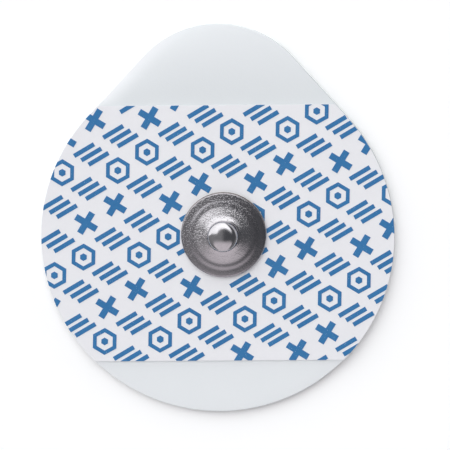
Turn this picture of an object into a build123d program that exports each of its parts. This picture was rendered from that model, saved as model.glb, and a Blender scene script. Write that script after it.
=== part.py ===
from build123d import *
from math import acos, cos, sin
import os

# A disposable snap electrode for the chest: a die-cut foam disc with a finger tab, a printed
# film strip over its middle, a pressed metal snap stud on top, and a coated plastic sensor
# whose post is locked in the stud and whose flange sits in a well of conductive gel.
# Millimetres. The origin is on the stud's axis, on the skin side. +Z points out of the stud
# and +Y towards the tab.

# Foam carrier
DISC_R = 22.0
TAB_TIP_R = 12.55
TAB_OUT = 4.57  # how far the tab's tip stands out past the disc
FOAM_T = 1.0
WELL_R = 8.5
STUD_OFF_X = 0.76  # how far the stud sits right of the disc's centre
STUD_OFF_Y = 0.25  # how far the stud sits towards the tab from the disc's centre

# Film strip
LABEL_H = 32.0
LABEL_T = 0.10
LABEL_LIFT = 0.42  # how far the strip's mid-line lies towards the tab from the disc's centre
LABEL_SKEW = 0.8  # degrees, anticlockwise
POST_HOLE_CLEAR = 0.12  # between the sensor's post and the hole in the film

# Print on the strip
INK_T = 0.03
ROW_TILT = -31.0  # degrees, the rows fall to the right
ROW_PITCH = 3.85
MOTIF_PITCH = 3.85
HEX_R = 1.7
HEX_WALL = 0.55
HEX_DOT_R = 0.48
PLUS_SPAN = 3.0
PLUS_ARM = 0.82
BAR_L = 2.9
BAR_W = 0.56
BAR_PITCH = 1.05
BAR_SLANT = 62.0  # degrees from the row's direction
INK_CLEAR = 0.05  # between the ink and the stud's rim
INK_LEAST = 0.3  # square millimetres, scraps smaller than this are not printed

# Pressed metal stud, its heights stacked from the film up, measured where straight stretches
# would meet before their bends are rounded
METAL_T = 0.25
FLANGE_R = 5.3
RIM_H = 0.515  # upright rim
BRIM_W = 0.88  # outer ring of the flange, nearly flat
BRIM_RISE = 0.055
STEP_W = 0.40  # narrow ring that climbs from the brim to the ledge
STEP_RISE = 0.065
LEDGE_W = 0.40  # narrow, flatter ring at the foot of the cone
LEDGE_RISE = 0.03
CONE_RISE = 0.385  # cone from the ledge in to the neck
NECK_L = 0.45
TAPER_L = 0.28  # from the neck out to the head's straight land
HEAD_H = 1.37  # from the land's low end to the top of the crown
HEAD_R = 1.95
UNDERCUT = 0.23  # how much slimmer the neck is than the head
CROWN_DROP = 0.34  # how much lower the crown is at the land's radius than on the axis
HEAD_BEND = 0.68
ROOT_BEND = 0.44
RIM_BEND = 0.20
HOLLOW_CHAMFER = 0.25  # on the inside, where the head and the root bend

# Coated plastic sensor
SENSOR_IN = 0.30  # how far its flange stops short of the stud's rim
SENSOR_T = 0.45
SENSOR_EDGE = 0.15
POST_CLEAR = 0.02  # between the post and the inside of the stud

# Gel
GEL_CLEAR = 0.10  # between the gel and the wall of its well
SEAT_CLEAR = 0.05  # between the gel and the edge of the sensor's flange

# Places that follow from the sizes above
LABEL_TOP = FOAM_T + LABEL_T
SENSOR_R = FLANGE_R - SENSOR_IN
SENSOR_LOW = FOAM_T - SENSOR_T
BRIM_TOP_H = RIM_H + BRIM_RISE
STEP_TOP_H = BRIM_TOP_H + STEP_RISE
LEDGE_TOP_H = STEP_TOP_H + LEDGE_RISE
ROOT_H = LEDGE_TOP_H + CONE_RISE
NECK_TOP_H = ROOT_H + NECK_L
LAND_LOW_H = NECK_TOP_H + TAPER_L
HEAD_TOP_H = LAND_LOW_H + HEAD_H
NECK_R = HEAD_R - UNDERCUT
POST_NECK_R = NECK_R - METAL_T - POST_CLEAR
DISC_C = Vector(-STUD_OFF_X, -STUD_OFF_Y)


def outline():
    """The die's outline: disc, round tab end and the two straight sides that touch both."""
    tip_up = DISC_R + TAB_OUT - TAB_TIP_R
    lean = acos((DISC_R - TAB_TIP_R) / tip_up)
    right = Vector(sin(lean), cos(lean))
    left = Vector(-sin(lean), cos(lean))
    tip_c = DISC_C + Vector(0, tip_up)
    with BuildLine() as rim:
        ThreePointArc(DISC_C + left * DISC_R, DISC_C + Vector(0, -DISC_R), DISC_C + right * DISC_R)
        Line(DISC_C + right * DISC_R, tip_c + right * TAB_TIP_R)
        ThreePointArc(tip_c + right * TAB_TIP_R, tip_c + Vector(0, TAB_TIP_R), tip_c + left * TAB_TIP_R)
        Line(tip_c + left * TAB_TIP_R, DISC_C + left * DISC_R)
    return make_face(rim.line.edges())


def strip():
    """The film strip's outline: a band, slightly askew, cut off by the die."""
    band = Rectangle(3 * DISC_R, LABEL_H)
    middle = DISC_C + Vector(0, LABEL_LIFT)
    return outline() & (Pos(middle.X, middle.Y) * Rot(0, 0, LABEL_SKEW) * band)


def foam_pad():
    return extrude(outline() - Circle(WELL_R), FOAM_T)


def face_label():
    hole = Circle(POST_NECK_R + POST_HOLE_CLEAR)
    return Pos(0, 0, FOAM_T) * extrude(strip() - hole, LABEL_T)


def hex_motif():
    """A six-sided ring with a small six-sided dot in it."""
    inner = RegularPolygon(HEX_R - HEX_WALL, 6)
    return [RegularPolygon(HEX_R, 6) - inner, RegularPolygon(HEX_DOT_R, 6)]


def plus_motif():
    return [Rectangle(PLUS_SPAN, PLUS_ARM) + Rectangle(PLUS_ARM, PLUS_SPAN)]


def bars_motif():
    """Three short bars that lean across the row."""
    return [Pos(i * BAR_PITCH, 0) * Rot(0, 0, BAR_SLANT) * Rectangle(BAR_L, BAR_W) for i in (-1, 0, 1)]


def label_print():
    """The ink: rows of motifs across the whole strip, left out under the stud."""
    motifs = [hex_motif(), bars_motif(), plus_motif(), bars_motif()]
    reach = int(2 * DISC_R / min(ROW_PITCH, MOTIF_PITCH))
    faces = []
    for row in range(-reach, reach + 1):
        for step in range(-reach, reach + 1):
            along = (step + 0.5 * (row % 2)) * MOTIF_PITCH
            place = Rot(0, 0, ROW_TILT) * Pos(along, row * ROW_PITCH)
            if place.position.length < DISC_R + STUD_OFF_X + PLUS_SPAN:
                for shape in motifs[(step + 2 * (row // 2)) % len(motifs)]:
                    faces += (place * shape).faces()
    inked = Compound(faces) & (strip() - Circle(FLANGE_R + INK_CLEAR))
    kept = [face for face in inked.faces() if face.area > INK_LEAST]
    return Pos(0, 0, LABEL_TOP) * extrude(Compound(kept), INK_T)


def stud_corners():
    """Where the straight stretches of the stud's half section meet, from the crown out."""
    return [
        Vector(0, HEAD_TOP_H),
        Vector(HEAD_R, HEAD_TOP_H - CROWN_DROP),
        Vector(HEAD_R, LAND_LOW_H),
        Vector(NECK_R, NECK_TOP_H),
        Vector(NECK_R, ROOT_H),
        Vector(FLANGE_R - BRIM_W - STEP_W - LEDGE_W, LEDGE_TOP_H),
        Vector(FLANGE_R - BRIM_W - STEP_W, STEP_TOP_H),
        Vector(FLANGE_R - BRIM_W, BRIM_TOP_H),
        Vector(FLANGE_R, RIM_H),
        Vector(FLANGE_R, 0),
    ]


def stud_skin():
    """The stud's outer form as a full body: crown, head, neck, stepped flange, upright rim."""
    top, crown_edge, *between, rim_top, foot = stud_corners()
    root = between[2]
    crown_r = (HEAD_R**2 + CROWN_DROP**2) / (2 * CROWN_DROP)
    bends = [(crown_edge, HEAD_BEND), (root, ROOT_BEND), (rim_top, RIM_BEND)]
    with BuildSketch(Plane.XZ) as section:
        with BuildLine() as skin:
            RadiusArc(top, crown_edge, crown_r)
            Polyline(crown_edge, *between, rim_top, foot)
            for corner, bend in bends:
                fillet(skin.vertices().sort_by_distance(corner)[0], bend)
            Polyline(foot, (0, 0), top)
        make_face()
    return revolve(section.sketch, Axis.Z)


def set_in(before, here, after, depth):
    """The corner at here once both of its stretches have moved inwards by depth."""
    inwards = []
    for start, end in ((before, here), (here, after)):
        way = (end - start).normalized()
        inwards.append(Vector(way.Y, -way.X))
    return here + (inwards[0] + inwards[1]) * (depth / (1 + inwards[0].dot(inwards[1])))


def stud_hollow(depth):
    """The room inside the stud, with each stretch of its wall set in by depth from the skin.
    The flange's ledge and step are too shallow to show on its inside, so one slope stands for them."""
    corners = stud_corners()
    del corners[6:8]
    inner = [set_in(*three, depth) for three in zip(corners, corners[1:], corners[2:])]
    crown_edge, root = inner[0], inner[3]
    top = corners[0] - Vector(0, depth)
    foot = corners[-1] - Vector(depth, 0)
    with BuildSketch(Plane.XZ) as section:
        with BuildLine():
            Polyline(top, *inner, foot, (0, 0), top)
        make_face()
        for corner in (crown_edge, root):
            chamfer(section.vertices().sort_by_distance(corner)[0], HOLLOW_CHAMFER)
    return revolve(section.sketch, Axis.Z)


def snap_stud():
    """The thin pressed shell, seated with its rim on the film."""
    return Pos(0, 0, LABEL_TOP) * (stud_skin() - stud_hollow(METAL_T))


def sensor_eyelet():
    """The flange under the film, and the post that fills the stud's neck and head."""
    hollow = stud_hollow(METAL_T + POST_CLEAR)
    in_neck = hollow & extrude(Circle(POST_NECK_R), HEAD_TOP_H)
    in_head = hollow & Pos(0, 0, NECK_TOP_H) * extrude(Circle(HEAD_R), HEAD_TOP_H)
    flange = Pos(0, 0, SENSOR_LOW) * extrude(Circle(SENSOR_R), SENSOR_T)
    flange = chamfer(flange.edges().group_by(Axis.Z)[0], SENSOR_EDGE)
    through_film = Pos(0, 0, FOAM_T) * extrude(Circle(POST_NECK_R), LABEL_T)
    return flange + through_film + Pos(0, 0, LABEL_TOP) * (in_neck + in_head)


def hydrogel_pad():
    """The gel: flush with the foam on both sides, with a seat for the sensor's flange."""
    gel = extrude(Circle(WELL_R - GEL_CLEAR), FOAM_T)
    seat = extrude(Circle(SENSOR_R + SEAT_CLEAR), SENSOR_T)
    return gel - Pos(0, 0, SENSOR_LOW) * seat


PARTS = {
    "foam_pad": foam_pad,
    "face_label": face_label,
    "label_print": label_print,
    "snap_stud": snap_stud,
    "sensor_eyelet": sensor_eyelet,
    "hydrogel_pad": hydrogel_pad,
}

os.makedirs("parts", exist_ok=True)
for name, make in PARTS.items():
    part = make()
    export_step(part, f"parts/{name}.step")
    print(f"{name}: {len(part.solids())} solids, {part.volume:.2f} mm3")
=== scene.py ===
# %% [markdown]
# # A snap electrode, dressed for its photograph
#
# The object is a disposable electrode for heart monitoring: a white foam disc with a finger tab, a printed
# film strip across it, a pressed metal stud on top and, underneath, a silvered sensor in a pad of clear gel.
#
# Its solids come ready made, at their real size. They lie in one shared frame: the stud's axis is Z, the
# skin side is at height zero and the finger tab points along +Y. This lesson never moves them. It gives each
# one its finish, builds finer pieces for the foam, the stud and the gel, and then adds a floor, lights and a
# camera.

# %% Load the solids
import math

import bpy
import numpy as np
from mathutils import Matrix, Vector, noise


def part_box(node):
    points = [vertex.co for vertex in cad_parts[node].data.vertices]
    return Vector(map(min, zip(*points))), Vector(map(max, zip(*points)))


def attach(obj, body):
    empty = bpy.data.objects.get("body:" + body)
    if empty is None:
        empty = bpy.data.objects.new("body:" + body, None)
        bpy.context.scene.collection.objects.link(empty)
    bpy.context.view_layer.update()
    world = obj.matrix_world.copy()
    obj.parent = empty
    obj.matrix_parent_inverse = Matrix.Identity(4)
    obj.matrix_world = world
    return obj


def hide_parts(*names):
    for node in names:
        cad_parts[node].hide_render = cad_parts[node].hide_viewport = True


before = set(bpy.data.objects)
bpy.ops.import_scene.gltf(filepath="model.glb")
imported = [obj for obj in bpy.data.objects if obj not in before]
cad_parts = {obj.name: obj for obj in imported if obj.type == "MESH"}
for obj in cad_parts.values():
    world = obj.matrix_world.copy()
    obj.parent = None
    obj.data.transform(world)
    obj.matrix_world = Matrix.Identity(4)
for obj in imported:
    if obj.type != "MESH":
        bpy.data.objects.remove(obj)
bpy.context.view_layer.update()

print("solids:", sorted(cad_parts))

# %% [markdown]
# ## Sizes
#
# A finish looks right only at the right scale, so every number below is a real size. What the solids know is
# read from their boxes: where the foam's edge is, how thick it is, how wide the stud is. What a box can't
# tell, such as the radius of the tab's tip or the skew of the film, is named here once, in millimetres times
# MM.

# %% Real sizes
MM = 0.001

foam_low, foam_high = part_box("foam_pad")
film_low, film_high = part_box("face_label")
stud_low, stud_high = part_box("snap_stud")
_, gel_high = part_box("hydrogel_pad")
sensor_low, sensor_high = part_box("sensor_eyelet")

DISC_R = (foam_high.x - foam_low.x) / 2
DISC_C = Vector(((foam_high.x + foam_low.x) / 2, foam_low.y + DISC_R))
TIP_R = 12.55 * MM
TIP_C = Vector((DISC_C.x, foam_high.y - TIP_R))
lean_up = (DISC_R - TIP_R) / (TIP_C.y - DISC_C.y)
TAB_LEAN = Vector((math.sqrt(1 - lean_up**2), lean_up))  # straight out from the tab's right flank
FOAM_T = foam_high.z
GEL_CLEAR = 0.1 * MM  # between the gel and the wall of its well
WELL_R = gel_high.x + GEL_CLEAR

FILM_H = 32.0 * MM
FILM_SKEW = math.radians(0.8)
FILM_C = Vector((DISC_C.x, (film_low.y + film_high.y) / 2))

print(f"disc radius {DISC_R / MM:.2f} mm, whole length {(foam_high.y - foam_low.y) / MM:.2f} mm")
print(f"stud: {stud_high.x / MM:.2f} mm radius, {(stud_high.z - stud_low.z) / MM:.2f} mm high above the film")

# %% [markdown]
# ## Shader maths as plain expressions
#
# A material in Blender is a graph of nodes, and a sum such as `1 - mask * 0.3` would take three nodes wired
# by hand. The class below wraps one output of a node, so that such sums can be written as they are read:
# each operator adds the Math node that it stands for. Colours are blended by a Mix node, because a Math node
# would turn them grey. Every other node comes from the one method `add`.


# %% A wire that can be used in sums
class Wire:
    """One output of a node. Sums on wires add Math nodes, and `add` makes any other node."""

    def __init__(self, tree, socket=None):
        self.tree = tree
        self.socket = socket

    def add(self, kind, settings=None, sockets=None, out=0):
        """Adds a node, sets its settings and then its sockets, and returns one of its outputs, if any."""
        made = self.tree.nodes.new("ShaderNode" + kind)
        for name, value in (settings or {}).items():
            setattr(made, name, value)
        for name, value in (sockets or {}).items():
            if isinstance(value, Wire):
                self.tree.links.new(value.socket, made.inputs[name])
            else:
                made.inputs[name].default_value = value
        return Wire(self.tree, made.outputs[out]) if len(made.outputs) else None

    def calc(self, operation, first, second):
        return self.add("Math", {"operation": operation}, {0: first, 1: second})

    def __add__(self, other):
        return self.calc("ADD", self, other)

    def __radd__(self, other):
        return self.calc("ADD", other, self)

    def __sub__(self, other):
        return self.calc("SUBTRACT", self, other)

    def __rsub__(self, other):
        return self.calc("SUBTRACT", other, self)

    def __mul__(self, other):
        return self.calc("MULTIPLY", self, other)

    def __rmul__(self, other):
        return self.calc("MULTIPLY", other, self)

    def __abs__(self):
        return self.calc("ABSOLUTE", self, 0.0)

    def most(self, other):
        """The larger of the two values."""
        return self.calc("MAXIMUM", self, other)

    def step(self, start, end):
        """0 at start and 1 at end, with a smooth rise between them. Start may be the larger one."""
        sockets = {"Value": self, "From Min": start, "From Max": end}
        return self.add("MapRange", {"interpolation_type": "SMOOTHSTEP"}, sockets)

    def tint(self, colour_at_0, colour_at_1):
        """A colour that goes from the first to the second as this wire goes from 0 to 1."""
        sockets = {"Factor": self, 6: colour_at_0, 7: colour_at_1}
        return self.add("Mix", {"data_type": "RGBA"}, sockets, out=2)


def srgb(red, green, blue):
    """The light values that nodes take for the colour that a screen shows for three numbers out of 255."""
    shares = [c / 255 for c in (red, green, blue)]
    return (*(s / 12.92 if s <= 0.04045 else ((s + 0.055) / 1.055) ** 2.4 for s in shares), 1.0)


print("white paper, as light:", [round(c, 3) for c in srgb(233, 234, 238)])

# %% [markdown]
# ## A starting point for each finish
#
# All finishes share the same few nodes: the place on the piece in metres, noise at a chosen size, a bump and
# one Principled shader. Noise takes a size in metres here and not a scale, because a scale of 5000 says
# nothing to a reader, while a grain of 0.2 mm does.


# %% Helpers for finishes
class Finish:
    """A new material with the place on the piece at hand, noise by size, bump and the closing shader."""

    def __init__(self, name):
        self.material = bpy.data.materials.new(name)
        self.material.use_nodes = True
        self.tree = self.material.node_tree
        self.tree.nodes.clear()
        self.root = Wire(self.tree)
        self.place = self.root.add("TexCoord", out="Object")
        self.x, self.y, self.z = (self.root.add("SeparateXYZ", None, {0: self.place}, k) for k in range(3))

    def noise(self, size, detail=2.0, roughness=0.5, place=None):
        sockets = {"Vector": place or self.place, "Scale": 1 / size, "Detail": detail, "Roughness": roughness}
        return self.root.add("TexNoise", None, sockets)

    def cells(self, size, feature="DISTANCE_TO_EDGE"):
        return self.root.add("TexVoronoi", {"feature": feature}, {"Vector": self.place, "Scale": 1 / size})

    def bump(self, height, depth, below=None):
        """A bump whose height of 1 stands for a real depth in metres. below is a bump that it adds to."""
        sockets = {"Height": height, "Distance": depth}
        if below:
            sockets["Normal"] = below
        return self.root.add("Bump", None, sockets)

    def close(self, sockets):
        """Ends the material in a Principled shader with these sockets."""
        shader = self.root.add("BsdfPrincipled", None, sockets)
        self.root.add("OutputMaterial", None, {"Surface": shader})
        return self.material


def dress(node, material):
    """Gives a solid that stays in view its finish."""
    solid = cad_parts[node]
    if not solid.material_slots:
        solid.data.materials.append(material)
    for slot in solid.material_slots:
        slot.material = material
    return solid


CREASE = math.radians(40)  # faces that meet at more than this keep a sharp edge


def piece_from(name, points, faces, material):
    """A new piece of the object from its points and faces, smooth apart from its true edges."""
    mesh = bpy.data.meshes.new(name)
    mesh.from_pydata([tuple(p) for p in points], [], faces)
    mesh.validate()
    mesh.shade_smooth()
    mesh.set_sharp_from_angle(angle=CREASE)
    mesh.materials.append(material)
    piece = bpy.data.objects.new(name, mesh)
    bpy.context.scene.collection.objects.link(piece)
    print(f"{name}: {len(mesh.vertices)} points, {len(mesh.polygons)} faces")
    return piece


# %% [markdown]
# ## The camera
#
# The electrode lies flat and the camera looks almost straight down at it. The stud's head is the clue to the
# tilt: it stands two millimetres above the flange's rim and looks shifted by a quarter of a millimetre, down
# and a little to the left. So the camera leans about 7.5 degrees towards the tab and slightly to the right.
# A long lens from more than a metre away keeps the disc nearly round, as in a catalogue photograph.

# %% Camera
CAMERA_TILT = math.radians(7.5)
CAMERA_SIDE = math.radians(65)  # the direction it leans in, from +X towards +Y
CAMERA_AWAY = 1.2
PHOTO_PIXELS = 450
PIXEL = 0.12443 * MM  # what one pixel of the photograph covers on the electrode
DISC_C_PIXEL = Vector((217.7, 236.3))
SENSOR_W = 36.0  # the camera's own sensor, in millimetres

towards_camera = Vector(
    (
        math.sin(CAMERA_TILT) * math.cos(CAMERA_SIDE),
        math.sin(CAMERA_TILT) * math.sin(CAMERA_SIDE),
        math.cos(CAMERA_TILT),
    )
)
picture_up = (Vector((0, 1, 0)) - towards_camera * towards_camera.y).normalized()
picture_right = picture_up.cross(towards_camera)

from_disc = Vector((PHOTO_PIXELS / 2, PHOTO_PIXELS / 2)) - DISC_C_PIXEL
picture_middle = (
    Vector((DISC_C.x, DISC_C.y, FOAM_T))
    + picture_right * (from_disc.x * PIXEL)
    - picture_up * (from_disc.y * PIXEL)
)

camera_data = bpy.data.cameras.new("camera")
camera_data.sensor_width = SENSOR_W
camera_data.lens = SENSOR_W * CAMERA_AWAY / (PHOTO_PIXELS * PIXEL)
camera_data.clip_start = 0.01
camera = bpy.data.objects.new("camera", camera_data)
bpy.context.scene.collection.objects.link(camera)
camera.location = picture_middle + towards_camera * CAMERA_AWAY
camera.rotation_mode = "QUATERNION"
camera.rotation_quaternion = Matrix((picture_right, picture_up, towards_camera)).transposed().to_quaternion()
bpy.context.scene.camera = camera
print(f"lens {camera_data.lens:.0f} mm, {CAMERA_AWAY} m away")

# %% [markdown]
# ## Light
#
# Polished metal shows the room it stands in, so the stud tells what the studio was like. Its head mirrors
# one huge white diffuser, which fills the sky from straight above to the horizon on the tab's side, and is
# weaker towards its left and its foot. The dark round shape in the middle of the head is the camera's own
# hood in front of it. On the other side hangs a weaker, faintly pink reflector. All else is a dim room that
# is darker to the right, except for a pale wall low down at the tab's right, which lights that edge of the
# foam.
#
# Lamps could stand for these, but a diffuser this large and near has no simple shape. So the studio is
# painted on the world's sphere. Each part of it is a mask made of straight edges: an edge is a plane through
# the electrode, and how far a direction lies to one side of it is one dot product. The light is then even
# over the whole electrode, as it should be for an object five centimetres long.
#
# The white background isn't made by more light: only what the camera sees directly of the room is white.

# %% The sky's masks
world = bpy.data.worlds.new("studio")
bpy.context.scene.world = world
world.use_nodes = True
world.node_tree.nodes.clear()
sky = Wire(world.node_tree)
direction = sky.add("TexCoord", out="Generated")


def heading(off_zenith, side):
    """The direction this many degrees off the zenith, on the side counted in degrees from +X towards +Y."""
    lean, turn = math.radians(off_zenith), math.radians(side)
    return Vector((math.sin(lean) * math.cos(turn), math.sin(lean) * math.sin(turn), math.cos(lean)))


def beyond(first, second, softness):
    """1 left of the edge that runs from the first direction to the second, 0 right of it, soft in degrees."""
    normal = first.cross(second).normalized()
    side = sky.add("VectorMath", {"operation": "DOT_PRODUCT"}, {0: direction, 1: normal}, out=1)
    reach = math.sin(math.radians(softness))
    return side.step(-reach, reach)


def within(middle, radius, softness):
    """1 inside a circle of this angular radius, 0 outside."""
    nearness = sky.add("VectorMath", {"operation": "DOT_PRODUCT"}, {0: direction, 1: middle}, out=1)
    far, near = (math.cos(math.radians(angle)) for angle in (radius + softness, radius - softness))
    return nearness.step(far, near)


print("straight up is", heading(0, 0), "and the tab's side is", heading(90, 90))

# %% The studio
# The light of each part of the studio. A light of 1 would show as pure white in the picture.
DIFFUSER = (2.42, 2.43, 2.45, 1.0)
DIFFUSER_LEFT = (1.95, 1.96, 1.98, 1.0)
DIFFUSER_FOOT = (1.90, 1.91, 1.93, 1.0)
REFLECTOR = (1.07, 1.00, 1.04, 1.0)
ROOM_LEFT = (0.36, 0.36, 0.37, 1.0)
ROOM_RIGHT = (0.125, 0.13, 0.14, 1.0)
ROOM_LOW = (0.30, 0.30, 0.31, 1.0)
PALE_WALL = (0.90, 0.90, 0.92, 1.0)
ROOM_BELOW = (0.95, 0.95, 0.95, 1.0)
WHITE = (1.0, 1.0, 1.0, 1.0)

# Where each part hangs: the hood is a circle, the diffuser has a lower and a right edge, and the reflector
# has an edge towards the zenith and one at each end.
hood = within(heading(3, 300), 18, 2)
diffuser = (
    beyond(heading(40, 178), heading(90, 1), 2)
    * beyond(heading(17, 0), heading(64, 72), 5)
    * (1 - hood)
)
reflector = (
    beyond(heading(38.5, 333), heading(38.5, 205), 7)
    * beyond(heading(30, 217), heading(75, 248), 4)
    * beyond(heading(75, 290), heading(30, 312), 4)
)
right, towards_tab, up = (sky.add("SeparateXYZ", None, {0: direction}, k) for k in range(3))
room_low = up.step(0.85, 0.4) * towards_tab.step(0.0, -0.5)
pale_wall = up.step(0.5, 0.25) * right.step(0.15, 0.5) * towards_tab.step(-0.3, 0.3)
cloth = right.step(-0.7, 0.0).tint(DIFFUSER_LEFT, DIFFUSER)

light = room_low.tint(right.step(0.08, -0.14).tint(ROOM_RIGHT, ROOM_LEFT), ROOM_LOW)
light = pale_wall.tint(light, PALE_WALL)
light = reflector.tint(light, REFLECTOR)
light = diffuser.tint(light, up.step(0.05, 0.65).tint(DIFFUSER_FOOT, cloth))
light = up.step(0.0, -0.1).tint(light, ROOM_BELOW)
seen_room = sky.add("LightPath", out="Is Camera Ray").most(sky.add("LightPath", out="Is Transmission Ray"))
background = sky.add("Background", None, {"Color": seen_room.tint(light, WHITE)})
sky.add("OutputWorld", None, {"Surface": background})
print("diffuser", DIFFUSER[:3], "reflector", REFLECTOR[:3], "room", ROOM_RIGHT[:3], "to", ROOM_LEFT[:3])

# %% [markdown]
# ## The outline that the die cuts
#
# One steel rule cuts the foam and the film together: a disc, the round tip of the tab and the two straight
# lines that touch both. The floor below and the foam above need this outline as points at even steps, each
# with the direction that points straight out, so that an edge can be rounded or pulled in along it.


# %% Outline
def die_outline(count):
    """Even points on the outline, anticlockwise from the tab's right end, and the way straight out there."""
    lean = math.acos(lean_up)
    right, left = math.pi / 2 - lean, math.pi / 2 + lean
    side = math.sqrt((TIP_C.y - DISC_C.y) ** 2 - (DISC_R - TIP_R) ** 2)
    legs = [
        (TIP_C, TIP_R, right, 2 * lean * TIP_R, True),
        (TIP_C, TIP_R, left, side, False),
        (DISC_C, DISC_R, left, 2 * (math.pi - lean) * DISC_R, True),
        (DISC_C, DISC_R, right, side, False),
    ]
    total = sum(leg[3] for leg in legs)
    points, outwards = [], []
    for step in range(count):
        along = total * step / count
        for centre, radius, angle, length, is_arc in legs:
            if along < length:
                break
            along -= length
        if is_arc:
            angle += along / radius
        out = Vector((math.cos(angle), math.sin(angle)))
        ahead = Vector((-out.y, out.x))
        points.append(centre + out * radius + (Vector((0, 0)) if is_arc else ahead * along))
        outwards.append(out)
    return np.array(points), np.array(outwards)


OUTLINE_STEPS = 480
edge_points, edge_out = die_outline(OUTLINE_STEPS)
print(f"outline: {edge_points.min(0) / MM} to {edge_points.max(0) / MM} mm")

# %% [markdown]
# ## The floor
#
# The photograph has no horizon, only white paper with a soft shadow where the foam's edge stands on it. A
# large flat sheet does that. It is a little darker than white under the lamps, so it glows faintly, though
# it lights nothing with that glow: lit paper then reads as white, and the shadow stays. The sheet has a
# window under the electrode and is clear from behind, so that the gel side can be looked at from below with
# light on it.


# %% Floor
FLOOR_R = 3.0
WINDOW_INSET = 0.06 * MM  # how far inside the foam's edge the window ends
PAPER = (0.92, 0.93, 0.93, 1.0)
PAPER_GLOW = (0.12, 0.12, 0.12, 1.0)
BLACK = (0.0, 0.0, 0.0, 1.0)

floor_finish = bpy.data.materials.new("floor_paper")
floor_finish.use_nodes = True
floor_finish.node_tree.nodes.clear()
paper = Wire(floor_finish.node_tree)
lit = paper.add("BsdfDiffuse", None, {"Color": PAPER})
seen = paper.add("LightPath", out="Is Camera Ray")
seen = seen.most(paper.add("LightPath", out="Is Glossy Ray"))
seen = seen.most(paper.add("LightPath", out="Is Transmission Ray"))
glow = paper.add("Emission", None, {"Color": seen.tint(BLACK, PAPER_GLOW)})
front = paper.add("AddShader", None, {0: lit, 1: glow})
behind = paper.add("NewGeometry", out="Backfacing")
surface = paper.add("MixShader", None, {0: behind, 1: front, 2: paper.add("BsdfTransparent")})
paper.add("OutputMaterial", None, {"Surface": surface})

window = edge_points - edge_out * WINDOW_INSET
turns = np.arctan2(window[:, 1], window[:, 0])
spokes = np.stack([np.cos(turns), np.sin(turns)], 1)  # the ways out from the stud's axis, for the foam too
floor_points = [(*p, 0.0) for p in (*window, *(spokes * FLOOR_R))]
floor_faces = [
    (k, k + OUTLINE_STEPS, (k + 1) % OUTLINE_STEPS + OUTLINE_STEPS, (k + 1) % OUTLINE_STEPS)
    for k in range(OUTLINE_STEPS)
]
floor = piece_from("floor", floor_points, floor_faces, floor_finish)

# %% [markdown]
# ## The foam carrier
#
# Closed-cell polyethylene foam, a millimetre thick, with an adhesive on its skin side. As a solid it is a
# plate with sharp corners. Real foam has none: the die presses the edge down before it cuts, which leaves a
# soft slope and a round upper edge, and the cut wall springs back slightly hollow. Beside the film's two
# long edges the foam sinks a tenth of a millimetre. The tab's left flank has been squeezed flatter by the
# finger that peeled it off. The plate is built as rings of points from the gel's well out to the edge, over
# it, and back underneath. That gives every one of those forms its own ring, and the piece stays closed.

# %% Foam sizes
EDGE_ROUND = 0.08 * MM
EDGE_ROUND_UNDER_FILM = 0.03 * MM
FOOT_ROUND = 0.08 * MM
WALL_HOLLOW = 0.08 * MM
WALL_ROUGH, WALL_ROUGH_SIZE = 0.012 * MM, 0.5 * MM
FILM_CLEAR = 0.012 * MM  # the foam lies this far under the film
SINK, SINK_REACH = 0.09 * MM, 0.9 * MM  # beside the film
ROLL, ROLL_REACH = 0.04 * MM, 0.6 * MM  # towards the foam's own edge
SQUEEZE, SQUEEZE_REACH = 0.40 * MM, 1.9 * MM  # at the tab's left flank
SQUEEZED_SIDE = Vector((-TAB_LEAN.x, TAB_LEAN.y))
WAVE, WAVE_SIZE = 0.02 * MM, 7.0 * MM
GRIP_FADE = 3  # how many outline steps the film's hold on the rounded edge takes to fade
TOP_RINGS, EDGE_RINGS, WALL_RINGS, FOOT_RINGS, UNDER_RINGS = 96, 7, 8, 4, 20


# %% Foam shape
def past_film(x, y):
    """How far a point lies outside the film's long edges. It is negative under the film."""
    across = (y - FILM_C.y) * math.cos(FILM_SKEW) - (x - FILM_C.x) * math.sin(FILM_SKEW)
    return abs(across) - FILM_H / 2


def from_edge(x, y):
    """How far inside the die's outline a point lies."""
    side, up = abs(x - DISC_C.x), y - DISC_C.y
    reach = TIP_C.y - DISC_C.y
    along = TAB_LEAN.x * up - TAB_LEAN.y * side
    if along < 0:
        return DISC_R - math.hypot(side, up)
    if along > TAB_LEAN.x * reach:
        return TIP_R - math.hypot(side, up - reach)
    return DISC_R - (TAB_LEAN.x * side + TAB_LEAN.y * up)


def foam_top(x, y, out):
    """The height of the foam's upper side, where out is the outward direction of the nearest edge."""
    away = past_film(x, y)
    if away < 0:
        return FOAM_T - FILM_CLEAR
    inside = from_edge(x, y)
    free = min(1.0, away / SINK_REACH)
    squeezed = SQUEEZE * max(0.0, SQUEEZED_SIDE.dot(out)) ** 2 * min(1.0, away / (2 * SQUEEZE_REACH))
    return (
        FOAM_T
        - FILM_CLEAR
        - SINK * (1 - math.exp(-away / SINK_REACH))
        - ROLL * free * math.exp(-inside / ROLL_REACH)
        - squeezed * math.exp(-inside / SQUEEZE_REACH)
        - WAVE * free * (0.5 - 0.5 * noise.noise(Vector((x, y, 0)) / WAVE_SIZE))
    )


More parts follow.
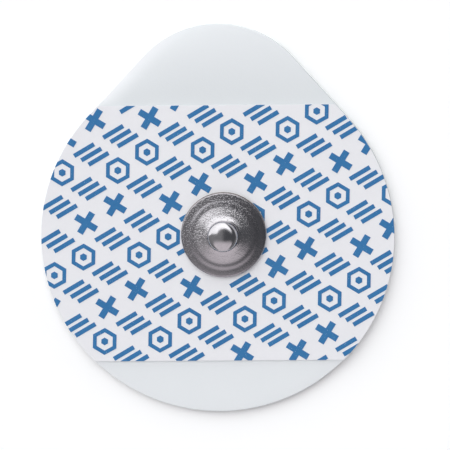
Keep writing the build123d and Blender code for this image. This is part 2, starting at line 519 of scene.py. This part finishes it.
def foam_rings():
    """Rings of points: upper side from the well out, edge, cut wall, foot, underside and the well's wall."""
    starts = WELL_R * spokes
    film_grip = np.array([1.0 if past_film(*p) < 0 else 0.0 for p in edge_points])
    film_grip = sum(np.roll(film_grip, k) for k in range(-GRIP_FADE, GRIP_FADE + 1)) / (2 * GRIP_FADE + 1)
    edge_round = EDGE_ROUND + (EDGE_ROUND_UNDER_FILM - EDGE_ROUND) * film_grip
    outs = [Vector(out) for out in edge_out]
    rings = []

    def ring(flat, heights):
        rings.append([(x, y, z) for (x, y), z in zip(flat, heights)])

    def heights_at(flat):
        return np.array([foam_top(x, y, out) for (x, y), out in zip(flat, outs)])

    rim = edge_points - edge_out * edge_round[:, None]
    for share in np.linspace(0, 1, TOP_RINGS):
        flat = starts + (rim - starts) * share
        ring(flat, heights_at(flat))
    rim_height = heights_at(rim)
    for angle in np.linspace(0, math.pi / 2, EDGE_RINGS)[1:]:
        flat = edge_points - edge_out * (edge_round * (1 - math.sin(angle)))[:, None]
        ring(flat, rim_height - edge_round * (1 - math.cos(angle)))
    wall_top = rim_height - edge_round
    for share in np.linspace(0, 1, WALL_RINGS)[1:]:
        rough = [noise.noise(Vector((x, y, share * MM)) / WALL_ROUGH_SIZE) for x, y in edge_points]
        pulled_in = (WALL_HOLLOW + WALL_ROUGH * np.array(rough)) * math.sin(math.pi * share)
        ring(edge_points - edge_out * pulled_in[:, None], wall_top + (FOOT_ROUND - wall_top) * share)
    for angle in np.linspace(0, math.pi / 2, FOOT_RINGS)[1:]:
        flat = edge_points - edge_out * (FOOT_ROUND * (1 - math.cos(angle)))
        ring(flat, [FOOT_ROUND * (1 - math.sin(angle))] * OUTLINE_STEPS)
    foot = edge_points - edge_out * FOOT_ROUND
    for share in np.linspace(0, 1, UNDER_RINGS)[1:]:
        ring(foot + (starts - foot) * share, [0.0] * OUTLINE_STEPS)
    for share in (0.33, 0.67):
        ring(starts, [FOAM_T * share] * OUTLINE_STEPS)
    return rings


def closed_tube(rings):
    """Points and faces of rings that follow each other round and end where they began."""
    points = [p for one in rings for p in one]
    count, around = len(rings), len(rings[0])
    faces = []
    for r in range(count):
        here, ahead = r * around, (r + 1) % count * around
        for k in range(around):
            after = (k + 1) % around
            faces.append((here + k, ahead + k, ahead + after, here + after))
    return points, faces


# %% [markdown]
# The foam's skin shows its cells only in raking light, as a faint pebble texture a fifth of a millimetre
# wide. The cut wall shows them open, and carries a painted grey shade that is darker away from the tab. The
# underside is levelled by a glossy, slightly creamy adhesive. One material can do all three: the wall is
# where the surface's normal lies flat, and the underside is at height zero. The skin's colour holds painted
# shade
# too: it is a little greyer just above the film and whiter towards the tab's tip and below the film, and a
# painted highlight makes the tab's left flank whitest.

# %% Foam finish
PEBBLE, PORE = 0.22 * MM, 0.16 * MM
FOAM_RELIEF = 0.012 * MM
FOAM_SHADED_GREY, FOAM_LIT_WHITE, FOAM_FLANK_HIGHLIGHT = srgb(216, 221, 223), srgb(234, 238, 240), srgb(236, 239, 241)
GLUE_CREAM, GLUE_PALE = srgb(217, 215, 206), srgb(232, 231, 225)
WALL_PAINTED_SHADE = srgb(132, 136, 139)

foam = Finish("white_foam")
upright = foam.root.add("SeparateXYZ", None, {0: foam.root.add("NewGeometry", out="Normal")}, 2)
wall = abs(upright).step(0.80, 0.40)
under = foam.z.step(0.03 * MM, 0.01 * MM)
pebbles = foam.cells(PEBBLE, "SMOOTH_F1")
pores = foam.cells(PORE)
broad = foam.noise(6.0 * MM, 2.0)
fine = foam.noise(0.5 * MM, 4.0, 0.6)
towards_tip = foam.y.step(FILM_C.y + FILM_H / 2 - 2 * MM, foam_high.y)
# Painted shade: the skin is greyer just above the film and whiter towards the tab's tip and below the film.
painted_shade_by_place = towards_tip + foam.y.step(0, -1 * MM) * 0.8
foam_skin = (painted_shade_by_place * 0.8 + broad * 0.15 + fine * 0.05).tint(FOAM_SHADED_GREY, FOAM_LIT_WHITE)
# Painted highlight: the colour turns whiter along the tab's left flank, the side that faces the light.
to_flank = (foam.y - DISC_C.y) * TAB_LEAN.y - (foam.x - DISC_C.x) * TAB_LEAN.x
painted_flank_highlight = to_flank.step(DISC_R - 2.3 * MM, DISC_R + 0.4 * MM) * towards_tip.step(0.0, 0.15)
foam_skin = painted_flank_highlight.tint(foam_skin, FOAM_FLANK_HIGHLIGHT)
glue = (broad * 0.6 + fine * 0.4).tint(GLUE_CREAM, GLUE_PALE)
foam_colour = under.tint(foam_skin, glue)
# Painted shade: the cut wall is tinted grey, lightly near the tab and more strongly away from it.
wall_shade_away_from_tab = foam.y.step(8 * MM, -10 * MM)
foam_colour = (wall * (0.1 + wall_shade_away_from_tab * 0.8)).tint(foam_colour, WALL_PAINTED_SHADE)
relief = pebbles * 0.4 * (1 - under) + pores * wall * 1.2 + fine * 0.25
foam_material = foam.close(
    {
        "Base Color": foam_colour,
        "Roughness": 0.62 - under * 0.4 + fine * 0.06,
        "Specular IOR Level": 0.4,
        "Normal": foam.bump(relief, FOAM_RELIEF),
    }
)

# %% Foam piece
foam_piece = piece_from("foam_carrier", *closed_tube(foam_rings()), foam_material)
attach(foam_piece, "root")
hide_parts("foam_pad")

# %% [markdown]
# ## The film strip
#
# Coated white film with a satin face, a tenth of a millimetre thick. The solid has the right shape, so it
# stays. Its finish is a cool white with a very shallow unevenness from the foam under it, which breaks up
# the gloss, and a slightly mottled coating.

# %% Film finish
FILM_GREY, FILM_WHITE = srgb(231, 232, 235), srgb(239, 240, 243)
COATING_RELIEF, SAG_RELIEF = 0.002 * MM, 0.02 * MM

film = Finish("white_film")
coating = film.noise(0.35 * MM, 3.0, 0.6)
over_foam = film.noise(2.4 * MM, 2.0)
film_colour = (coating * 0.5 + over_foam * 0.5).tint(FILM_GREY, FILM_WHITE)
film_material = film.close(
    {
        "Base Color": film_colour,
        "Roughness": 0.34 + coating * 0.12,
        "Normal": film.bump(coating, COATING_RELIEF, film.bump(over_foam, SAG_RELIEF)),
    }
)
dress("face_label", film_material)
print("film dressed")

# %% [markdown]
# ## The ink
#
# The motifs are thin solids on the film. Printed ink isn't one flat blue: it is mottled where the film took
# it unevenly, and tiny pinholes let the white through. Both are small, and stay well below the colour's own
# strength, or the print would look worn.

# %% Ink finish
INK_DEEP, INK_THIN, INK_MISSING = srgb(24, 99, 156), srgb(50, 124, 177), srgb(190, 205, 222)
INK_RELIEF = 0.002 * MM

ink = Finish("blue_ink")
mottle = ink.noise(0.45 * MM, 3.0, 0.65)
drift = ink.noise(5.0 * MM, 1.0)
pinholes = ink.noise(0.13 * MM, 1.0).step(0.70, 0.78)
ink_blue = (mottle * 0.6 + drift * 0.4).tint(INK_DEEP, INK_THIN)
ink_colour = (pinholes * 0.5).tint(ink_blue, INK_MISSING)
ink_material = ink.close(
    {
        "Base Color": ink_colour,
        "Roughness": 0.38 + mottle * 0.14,
        "Normal": ink.bump(mottle, INK_RELIEF),
    }
)
dress("label_print", ink_material)
print("ink dressed")

# %% [markdown]
# ## The stud
#
# The stud is pressed from sheet steel: an upright rim, a nearly flat brim, a step up to a narrow ledge, a
# cone up to the neck and the round head that a lead snaps onto. Metal this bright shows every flat of a
# coarse mesh as a kinked reflection, so the solid is replaced by a finer body of the same section, spun in
# 256 steps. The section is drawn as it would be on paper: straight stretches first, then each bend rounded
# by its radius. The inside follows the outside at the sheet's thickness.

# %% Stud section
STUD_STEPS = 256
CROWN_STEPS, SHOULDER_STEPS, BEND_STEPS = 24, 16, 10  # points along the crown, its bend and each lower bend
METAL_T = 0.25 * MM
STUD_R = stud_high.x
STUD_FOOT = stud_low.z
STUD_TOP = stud_high.z
RIM_H = 0.515 * MM
BRIM_W, BRIM_RISE = 0.88 * MM, 0.055 * MM
STEP_W, STEP_RISE = 0.40 * MM, 0.065 * MM
LEDGE_W, LEDGE_RISE = 0.40 * MM, 0.03 * MM
CONE_RISE = 0.385 * MM
CONE_BREAK_R, CONE_BREAK_RISE = 2.35 * MM, 0.21 * MM  # where the cone gets steeper
NECK_L = 0.45 * MM
TAPER_L = 0.28 * MM
HEAD_R = 1.95 * MM
UNDERCUT = 0.23 * MM
NECK_R = HEAD_R - UNDERCUT
CROWN_DROP = 0.34 * MM
HEAD_BEND = 0.68 * MM

rim_top = STUD_FOOT + RIM_H
brim_top = rim_top + BRIM_RISE
step_top = brim_top + STEP_RISE
ledge_top = step_top + LEDGE_RISE
root = ledge_top + CONE_RISE
neck_top = root + NECK_L
land_low = neck_top + TAPER_L

# Below the head, each corner is a radius from the axis, a height and the radius of its bend. The cone is a
# little hollow: it has a blunt corner of its own, where it gets steeper towards the neck.
BODY_CORNERS = [
    (HEAD_R, land_low, 0.08 * MM),
    (NECK_R, neck_top, 0.10 * MM),
    (NECK_R, root, 0.44 * MM),
    (CONE_BREAK_R, ledge_top + CONE_BREAK_RISE, 5.2 * MM),
    (STUD_R - BRIM_W - STEP_W - LEDGE_W, ledge_top, 3.0 * MM),
    (STUD_R - BRIM_W - STEP_W, step_top, 3.2 * MM),
    (STUD_R - BRIM_W, brim_top, 3.2 * MM),
    (STUD_R, rim_top, 0.20 * MM),
]


def head_line():
    """The crown's flat arc from the axis out, and the bend that turns it into the head's straight land."""
    ball = (HEAD_R**2 + CROWN_DROP**2) / (2 * CROWN_DROP)
    meet = math.asin((HEAD_R - HEAD_BEND) / (ball - HEAD_BEND))
    ball_z = STUD_TOP - ball
    bend_z = ball_z + (ball - HEAD_BEND) * math.cos(meet)
    crown = [
        Vector((ball * math.sin(a), ball_z + ball * math.cos(a)))
        for a in np.linspace(0, meet, CROWN_STEPS)
    ]
    shoulder = [
        Vector((HEAD_R - HEAD_BEND + HEAD_BEND * math.sin(a), bend_z + HEAD_BEND * math.cos(a)))
        for a in np.linspace(meet, math.pi / 2, SHOULDER_STEPS)[1:]
    ]
    return crown + shoulder


def rounded(start, corners, end):
    """The line from start to end over the corners, with an arc of its own radius at each corner."""
    places = [start, *(Vector(c[:2]) for c in corners), end]
    line = []
    for before, here, after, (_, _, radius) in zip(places, places[1:], places[2:], corners):
        back, ahead = (before - here).normalized(), (after - here).normalized()
        half = back.angle(ahead) / 2
        middle = here + (back + ahead).normalized() * (radius / math.sin(half))
        first = here + back * (radius / math.tan(half)) - middle
        last = here + ahead * (radius / math.tan(half)) - middle
        turn = math.atan2(first.x * last.y - first.y * last.x, first.dot(last))
        for k in range(BEND_STEPS + 1):
            c, s = math.cos(turn * k / BEND_STEPS), math.sin(turn * k / BEND_STEPS)
            line.append(middle + Vector((first.x * c - first.y * s, first.x * s + first.y * c)))
    return line + [end]


def inside_line():
    """The stud's inside from its foot up to the axis: plain corners, set in by the sheet's thickness."""
    top, foot = Vector((0, STUD_TOP)), Vector((STUD_R, STUD_FOOT))
    places = [top, Vector((HEAD_R, STUD_TOP - CROWN_DROP)), *(Vector(c[:2]) for c in BODY_CORNERS), foot]
    line = [Vector((0, STUD_TOP - METAL_T))]
    for before, here, after in zip(places, places[1:], places[2:]):
        ways = [(here - before).normalized(), (after - here).normalized()]
        inwards = [Vector((way.y, -way.x)) for way in ways]
        line.append(here + (inwards[0] + inwards[1]) * (METAL_T / (1 + inwards[0].dot(inwards[1]))))
    line.append(foot - Vector((METAL_T, 0)))
    return line[::-1]


ON_AXIS = 1e-9  # a radius no larger than this is one point on the axis


def spun(line, steps):
    """Points and faces of a closed body spun about the axis from a line that starts and ends on it."""
    points, rings = [], []
    for radius, height in line:
        rings.append(len(points))
        around = steps if radius > ON_AXIS else 1
        for k in range(around):
            turn = 2 * math.pi * k / around
            points.append((radius * math.cos(turn), radius * math.sin(turn), height))
    faces = []
    for here, ahead, a, b in zip(rings, rings[1:], line, line[1:]):
        for k in range(steps):
            after = (k + 1) % steps
            if a[0] <= ON_AXIS:
                faces.append((here, ahead + k, ahead + after))
            elif b[0] <= ON_AXIS:
                faces.append((here + k, ahead, here + after))
            else:
                faces.append((here + k, ahead + k, ahead + after, here + after))
    return points, faces


stud_line = head_line()
stud_line += rounded(stud_line[-1], BODY_CORNERS, Vector((STUD_R, STUD_FOOT)))
stud_line += inside_line()
print(f"the stud's section has {len(stud_line)} points, its root lies at {root / MM:.2f} mm")

# %% [markdown]
# Pressed steel isn't a mirror. Three things soften it, each at its own size: a slow waviness of a millimetre
# or two left by the press, which bends the edge of a reflection; a pitted grain a fifth of a millimetre
# wide, from the sheet stretching over the die; and a roughness that differs from spot to spot. The sheet
# stretched more on one side, so the grain is coarser there. The die's punch has polished the head, where the
# grain fades out and the reflections are crisp. Scratches of handling run across the flange. The brim is
# darker than the cone, and the rim's lower part is rougher and carries a painted dull brown shade, most of
# all on the tab's side. All of this is a few hundredths of a millimetre deep at most.

# %% Stud finish
GRAIN = 0.19 * MM
PIT_RELIEF, PRESS_RELIEF = 0.013 * MM, 0.012 * MM
STEEL_DARK, STEEL_PALE = srgb(166, 164, 167), srgb(182, 180, 183)
STEEL_BRIM, STEEL_RIM_SHADE = srgb(142, 140, 144), srgb(112, 100, 94)
SCRATCH_SQUEEZE = (1, 14, 1)  # the noise is squeezed along Y, so the scratches run along X
SCRATCH_PATCH = (0, 0, 0.6)  # turned after that, the noise only shows another patch of itself

steel = Finish("pressed_steel")
polished = steel.z.step(root, land_low)
press_waves = steel.noise(1.7 * MM, 1.0)
grain = steel.noise(GRAIN, 2.0, 0.5).step(0.50, 0.68)
spots = steel.noise(0.42 * MM, 3.0, 0.6)
along_x = {"Vector": steel.place, "Rotation": SCRATCH_PATCH, "Scale": SCRATCH_SQUEEZE}
brushed = steel.root.add("Mapping", None, along_x)
scratches = steel.noise(0.5 * MM, 2.0, 0.7, brushed).step(0.60, 0.66)
from_middle = steel.root.add("VectorMath", {"operation": "LENGTH"}, {0: steel.place}, out=1)
brim = from_middle.step(3.5 * MM, 4.4 * MM) * (1 - polished)
steel_colour = (brim * 0.75).tint(spots.tint(STEEL_DARK, STEEL_PALE), STEEL_BRIM)
tab_side = steel.y.step(-1.5 * MM, 2.0 * MM)
# Painted shade: the rim's lower part is darkened to a dull brown, most on the tab's side, and made rougher.
rim_shade_and_dulling = steel.z.step(rim_top + 0.02 * MM, rim_top - 0.10 * MM) * (0.15 + tab_side * 0.85)
steel_colour = (rim_shade_and_dulling * 0.9).tint(steel_colour, STEEL_RIM_SHADE)
drawn_rough = (steel.y * 0.70 - steel.x * 0.71).step(-2.5 * MM, 3.5 * MM)
pits = grain * (0.25 + drawn_rough * 0.75) * (1 - polished * 0.95) * (1 - brim * 0.3)
steel_material = steel.close(
    {
        "Base Color": steel_colour,
        "Metallic": 1.0,
        "Roughness": 0.12 + (1 - polished) * (spots * 0.10 + scratches * 0.06) + rim_shade_and_dulling * 0.2,
        "Normal": steel.bump(pits, PIT_RELIEF, steel.bump(press_waves, PRESS_RELIEF)),
    }
)

# %% Stud piece
stud_piece = piece_from("snap_stud_fine", *spun(stud_line, STUD_STEPS), steel_material)
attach(stud_piece, "root")
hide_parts("snap_stud")

# %% [markdown]
# ## The sensor
#
# Under the film lies the sensor's flange, moulded plastic with a thin coat of silver and silver chloride.
# That coat is dull, grey and slightly cloudy, half way between metal and paint. It shows only from below,
# through the gel.

# %% Sensor finish
SILVER_DARK, SILVER_PALE = srgb(150, 150, 146), srgb(196, 196, 192)
SPECK_RELIEF = 0.006 * MM

silver = Finish("silver_coating")
clouds = silver.noise(1.1 * MM, 4.0, 0.6)
specks = silver.noise(0.14 * MM, 2.0)
silver_material = silver.close(
    {
        "Base Color": (clouds * 0.7 + specks * 0.3).tint(SILVER_DARK, SILVER_PALE),
        "Metallic": 0.45,
        "Roughness": 0.42 + clouds * 0.2,
        "Normal": silver.bump(specks, SPECK_RELIEF),
    }
)
dress("sensor_eyelet", silver_material)
print("sensor dressed")

# %% [markdown]
# ## The gel
#
# Clear conductive hydrogel, a millimetre deep around the sensor. It is wet, tacky and slightly milky, and it
# holds a thin open scrim that keeps it in one piece. Its skin side isn't flat: it creeps up the well's wall
# and sinks a little in the middle. The body is spun like the stud, from the axis out along the skin side, up
# its wall and back over the seat of the sensor, and then its skin side is pushed in by slow noise.

# %% Gel shape
GEL_STEPS, GEL_RINGS, GEL_EDGE_RINGS = 160, 34, 7
GEL_R = gel_high.x
SEAT_CLEAR = 0.05 * MM  # between the gel and the edge of the sensor's flange
SEAT_R = sensor_high.x + SEAT_CLEAR
SEAT_Z = sensor_low.z
GEL_TOP = FOAM_T - 0.01 * MM
GEL_EDGE = 0.14 * MM
GEL_SINK = 0.05 * MM
SKIN_SIDE = 0.06 * MM  # only points lower than this are pushed in by the noise
GEL_WAVE_SIZE = 2.6 * MM


def gel_line():
    """The gel's section: sunken skin side, creeping edge, wall, upper side and the seat above the flange."""
    skin = [
        Vector((r, GEL_SINK * math.cos(math.pi / 2 * r / (GEL_R - GEL_EDGE))))
        for r in np.linspace(0, GEL_R - GEL_EDGE, GEL_RINGS)
    ]
    edge = [
        Vector((GEL_R - GEL_EDGE * (1 - math.sin(a)), GEL_EDGE * (1 - math.cos(a))))
        for a in np.linspace(0, math.pi / 2, GEL_EDGE_RINGS)[1:]
    ]
    upper = [(GEL_R, 0.5 * FOAM_T), (GEL_R, GEL_TOP), ((GEL_R + SEAT_R) / 2, GEL_TOP)]
    seat = [(SEAT_R, GEL_TOP), (SEAT_R, SEAT_Z), (SEAT_R / 2, SEAT_Z), (0, SEAT_Z)]
    return skin + edge + [Vector(p) for p in upper + seat]


def pushed_in(x, y, z):
    """The point with the noise added to its height if it lies on the skin side."""
    push = GEL_SINK * 0.5 * (1 + noise.noise(Vector((x, y, 0)) / GEL_WAVE_SIZE))
    return (x, y, z + push if z < SKIN_SIDE else z)


gel_points, gel_faces = spun(gel_line(), GEL_STEPS)
gel_points = [pushed_in(*p) for p in gel_points]
print(f"gel radius {GEL_R / MM:.2f} mm, seat radius {SEAT_R / MM:.2f} mm")

# %% Gel finish
THREAD = 0.09 * MM
MESH_PITCH = 0.9 * MM
GEL_RELIEF = 0.01 * MM
GEL_CLEAR_TONE, GEL_MILKY_TONE = srgb(222, 232, 229), srgb(246, 248, 246)

gel = Finish("clear_gel")


def threads(place):
    """1 on the scrim's threads that lie across this direction, 0 between them."""
    phase = gel.root.add("Math", {"operation": "FRACT"}, {0: place * (1 / MESH_PITCH)})
    return abs(phase - 0.5).step(THREAD / MESH_PITCH, 0.5 * THREAD / MESH_PITCH)


wander = gel.noise(1.5 * MM, 1.0) * 0.12 * MM
scrim = threads(gel.x + wander).most(threads(gel.y + wander))
bubbles = gel.cells(1.3 * MM, "F1").step(0.10, 0.07)
gel_bump = gel.bump(gel.noise(0.9 * MM, 2.0), GEL_RELIEF)
gel_colour = (scrim * 0.7).most(bubbles * 0.4).tint(GEL_CLEAR_TONE, GEL_MILKY_TONE)
gel_material = gel.close(
    {
        "Base Color": gel_colour,
        "Roughness": 0.12 + scrim * 0.2,
        "IOR": 1.37,
        "Transmission Weight": 0.72,
        "Normal": gel_bump,
    }
)

# %% Gel piece
gel_piece = piece_from("gel_body", gel_points, gel_faces, gel_material)
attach(gel_piece, "root")
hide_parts("hydrogel_pad")

# %% [markdown]
# ## Closing
#
# The picture keeps its plain colours, so the view transform is Standard.

# %% View transform
bpy.context.scene.view_settings.view_transform = "Standard"
